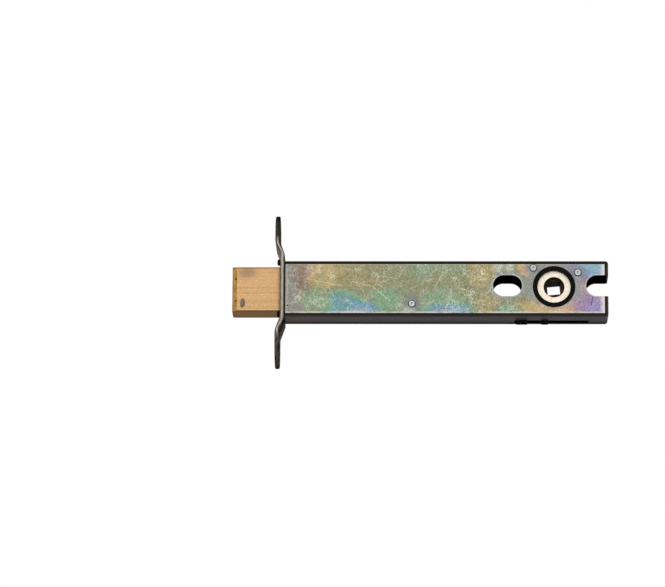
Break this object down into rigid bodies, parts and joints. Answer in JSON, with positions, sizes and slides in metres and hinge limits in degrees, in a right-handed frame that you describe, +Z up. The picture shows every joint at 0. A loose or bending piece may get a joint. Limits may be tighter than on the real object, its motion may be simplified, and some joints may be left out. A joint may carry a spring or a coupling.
{
  "type": "tubular bathroom deadbolt",
  "caption": "Slim tubular deadbolt for a bathroom door: a quarter turn of its square-drive hub throws or draws a square brass bolt through a joggled forend with round ends.",
  "frame": {"origin": "middle of the front plane of the forend's two ends, midway between its screw holes", "axes": "+X along the bolt, into the door; the bolt is thrown towards -X; +Y through the door's thickness, along the hub's axis; +Z up, along the door's edge"},
  "size_m": [0.1456, 0.018, 0.0606],
  "materials": {
    "forend_steel": "dark satin plated steel",
    "passivated_steel": "iridescent yellow zinc passivate",
    "rivet_steel": "bright zinc plate, peened",
    "black_nylon": "moulded, satin",
    "spring_steel": "tempered strip",
    "cast_zinc": "die-cast, satin",
    "bolt_brass": "drawn, lightly tarnished",
    "tail_steel": "pressed, oiled"
  },
  "bodies": {
    "case": {"forend": "forend_steel", "case_tray": "passivated_steel", "case_cover": "passivated_steel", "guide_pillar": "rivet_steel", "front_spring_pillar": "rivet_steel", "rear_spring_pillar": "rivet_steel", "front_hub_bush": "black_nylon", "rear_hub_bush": "black_nylon", "detent_spring": "spring_steel"},
    "hub": {"hub": "cast_zinc"},
    "bolt": {"bolt_head": "bolt_brass", "bolt_tail": "tail_steel", "upper_tail_rivet": "rivet_steel", "lower_tail_rivet": "rivet_steel"}
  },
  "joints": [
    {"name": "hub_turn", "type": "hinge", "parent": "case", "child": "hub", "pos_m": [0.108, 0, 0.0007], "axis": [0, -1, 0], "range_deg": [0, 90], "deforming": ["detent_spring"]},
    {"name": "bolt_slide", "type": "slide", "parent": "case", "child": "bolt", "axis": [1, 0, 0], "range_m": [0, 0.015]}
  ],
  "couplings": [
    {"joint": "hub_turn", "follows": "bolt_slide", "rad_per_m": 104.72}
  ]
}
